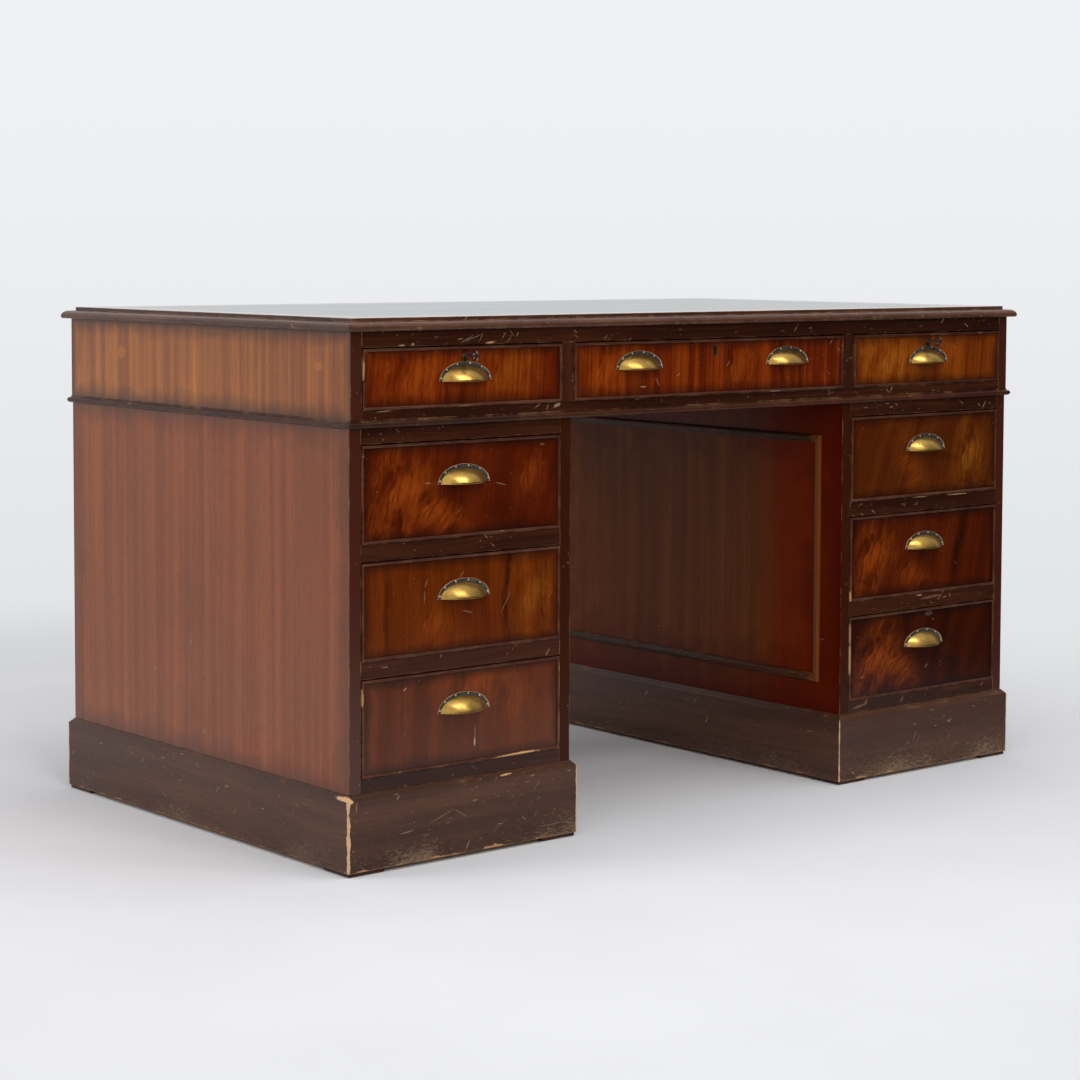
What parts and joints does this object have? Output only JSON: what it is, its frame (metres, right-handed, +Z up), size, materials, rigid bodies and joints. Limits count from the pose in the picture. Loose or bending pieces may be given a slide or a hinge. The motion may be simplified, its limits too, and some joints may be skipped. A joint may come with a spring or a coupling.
{
  "type": "pedestal desk",
  "caption": "Twin-pedestal mahogany writing desk with an inset leather top, frieze drawers over pedestal drawers, cock beads, brass cup pulls, locks and keys.",
  "frame": {"origin": "on the floor under the middle of the desk", "axes": "+X to the right along the length as seen from the drawer side, drawer fronts face -Y, +Z up"},
  "size_m": [1.376, 0.7885, 0.76],
  "materials": {
    "mahogany_veneer": "polished straight-grained mahogany veneer",
    "figured_mahogany": "polished flame-figured mahogany veneer",
    "mahogany_moulding": "dark stained and worn solid mahogany",
    "drawer_lining": "plain unpolished drawer lining timber",
    "desk_leather": "dyed desk leather",
    "aged_brass": "aged brass",
    "key_steel": "worn steel"
  },
  "bodies": {
    "carcass": {"top_board": "mahogany_veneer", "top_edge_moulding": "mahogany_moulding", "leather_inset": "desk_leather", "frieze_ends": "mahogany_veneer", "back_panels": "mahogany_veneer", "frieze_rails": "mahogany_moulding", "frieze_dividers": "mahogany_moulding", "waist_moulding": "mahogany_moulding", "pedestal_outer_sides": "mahogany_veneer", "pedestal_inner_sides": "mahogany_veneer", "pedestal_rails": "mahogany_moulding", "pedestal_boards": "drawer_lining", "plinth_boards": "mahogany_moulding", "panel_mouldings": "mahogany_moulding", "drawer_runners": "drawer_lining", "plinth_glides": "mahogany_moulding"},
    "left_frieze_drawer": {"left_frieze_drawer_front": "figured_mahogany", "left_frieze_drawer_beads": "mahogany_moulding", "left_frieze_drawer_box": "drawer_lining", "left_frieze_drawer_pull": "aged_brass", "left_frieze_lock": "aged_brass"},
    "centre_frieze_drawer": {"centre_frieze_drawer_front": "figured_mahogany", "centre_frieze_drawer_beads": "mahogany_moulding", "centre_frieze_drawer_box": "drawer_lining", "centre_frieze_drawer_pulls": "aged_brass", "centre_frieze_lock": "aged_brass"},
    "right_frieze_drawer": {"right_frieze_drawer_front": "figured_mahogany", "right_frieze_drawer_beads": "mahogany_moulding", "right_frieze_drawer_box": "drawer_lining", "right_frieze_drawer_pull": "aged_brass", "right_frieze_lock": "aged_brass"},
    "left_pedestal_bottom_drawer": {"left_pedestal_bottom_drawer_front": "figured_mahogany", "left_pedestal_bottom_drawer_beads": "mahogany_moulding", "left_pedestal_bottom_drawer_box": "drawer_lining", "left_pedestal_bottom_drawer_pull": "aged_brass"},
    "left_pedestal_middle_drawer": {"left_pedestal_middle_drawer_front": "figured_mahogany", "left_pedestal_middle_drawer_beads": "mahogany_moulding", "left_pedestal_middle_drawer_box": "drawer_lining", "left_pedestal_middle_drawer_pull": "aged_brass"},
    "left_pedestal_top_drawer": {"left_pedestal_top_drawer_front": "figured_mahogany", "left_pedestal_top_drawer_beads": "mahogany_moulding", "left_pedestal_top_drawer_box": "drawer_lining", "left_pedestal_top_drawer_pull": "aged_brass"},
    "right_pedestal_bottom_drawer": {"right_pedestal_bottom_drawer_front": "figured_mahogany", "right_pedestal_bottom_drawer_beads": "mahogany_moulding", "right_pedestal_bottom_drawer_box": "drawer_lining", "right_pedestal_bottom_drawer_pull": "aged_brass"},
    "right_pedestal_middle_drawer": {"right_pedestal_middle_drawer_front": "figured_mahogany", "right_pedestal_middle_drawer_beads": "mahogany_moulding", "right_pedestal_middle_drawer_box": "drawer_lining", "right_pedestal_middle_drawer_pull": "aged_brass"},
    "right_pedestal_top_drawer": {"right_pedestal_top_drawer_front": "figured_mahogany", "right_pedestal_top_drawer_beads": "mahogany_moulding", "right_pedestal_top_drawer_box": "drawer_lining", "right_pedestal_top_drawer_pull": "aged_brass"},
    "left_frieze_lock_bolt": {"left_frieze_lock_bolt": "aged_brass"},
    "left_frieze_key": {"left_frieze_key": "key_steel"},
    "centre_frieze_lock_bolt": {"centre_frieze_lock_bolt": "aged_brass"},
    "right_frieze_lock_bolt": {"right_frieze_lock_bolt": "aged_brass"},
    "right_frieze_key": {"right_frieze_key": "key_steel"}
  },
  "joints": [
    {"name": "left_frieze_drawer_slide", "type": "slide", "parent": "carcass", "child": "left_frieze_drawer", "axis": [0, -1, 0], "range_m": [0, 0.43]},
    {"name": "centre_frieze_drawer_slide", "type": "slide", "parent": "carcass", "child": "centre_frieze_drawer", "axis": [0, -1, 0], "range_m": [0, 0.43]},
    {"name": "right_frieze_drawer_slide", "type": "slide", "parent": "carcass", "child": "right_frieze_drawer", "axis": [0, -1, 0], "range_m": [0, 0.43]},
    {"name": "left_pedestal_bottom_drawer_slide", "type": "slide", "parent": "carcass", "child": "left_pedestal_bottom_drawer", "axis": [0, -1, 0], "range_m": [0, 0.43]},
    {"name": "left_pedestal_middle_drawer_slide", "type": "slide", "parent": "carcass", "child": "left_pedestal_middle_drawer", "axis": [0, -1, 0], "range_m": [0, 0.43]},
    {"name": "left_pedestal_top_drawer_slide", "type": "slide", "parent": "carcass", "child": "left_pedestal_top_drawer", "axis": [0, -1, 0], "range_m": [0, 0.43]},
    {"name": "right_pedestal_bottom_drawer_slide", "type": "slide", "parent": "carcass", "child": "right_pedestal_bottom_drawer", "axis": [0, -1, 0], "range_m": [0, 0.43]},
    {"name": "right_pedestal_middle_drawer_slide", "type": "slide", "parent": "carcass", "child": "right_pedestal_middle_drawer", "axis": [0, -1, 0], "range_m": [0, 0.43]},
    {"name": "right_pedestal_top_drawer_slide", "type": "slide", "parent": "carcass", "child": "right_pedestal_top_drawer", "axis": [0, -1, 0], "range_m": [0, 0.43]},
    {"name": "left_frieze_lock_bolt_throw", "type": "slide", "parent": "left_frieze_drawer", "child": "left_frieze_lock_bolt", "axis": [0, 0, 1], "range_m": [0, 0.007]},
    {"name": "left_frieze_key_turn", "type": "hinge", "parent": "left_frieze_drawer", "child": "left_frieze_key", "pos_m": [-0.48, -0.374, 0.7057], "axis": [0, 1, 0], "range_deg": [0, 180]},
    {"name": "centre_frieze_lock_bolt_throw", "type": "slide", "parent": "centre_frieze_drawer", "child": "centre_frieze_lock_bolt", "axis": [0, 0, 1], "range_m": [0, 0.007]},
    {"name": "right_frieze_lock_bolt_throw", "type": "slide", "parent": "right_frieze_drawer", "child": "right_frieze_lock_bolt", "axis": [0, 0, 1], "range_m": [0, 0.007]},
    {"name": "right_frieze_key_turn", "type": "hinge", "parent": "right_frieze_drawer", "child": "right_frieze_key", "pos_m": [0.48, -0.374, 0.7057], "axis": [0, 1, 0], "range_deg": [0, 180]}
  ],
  "couplings": [
    {"joint": "left_frieze_lock_bolt_throw", "follows": "left_frieze_key_turn", "m_per_rad": 0.002228},
    {"joint": "right_frieze_lock_bolt_throw", "follows": "right_frieze_key_turn", "m_per_rad": 0.002228}
  ]
}
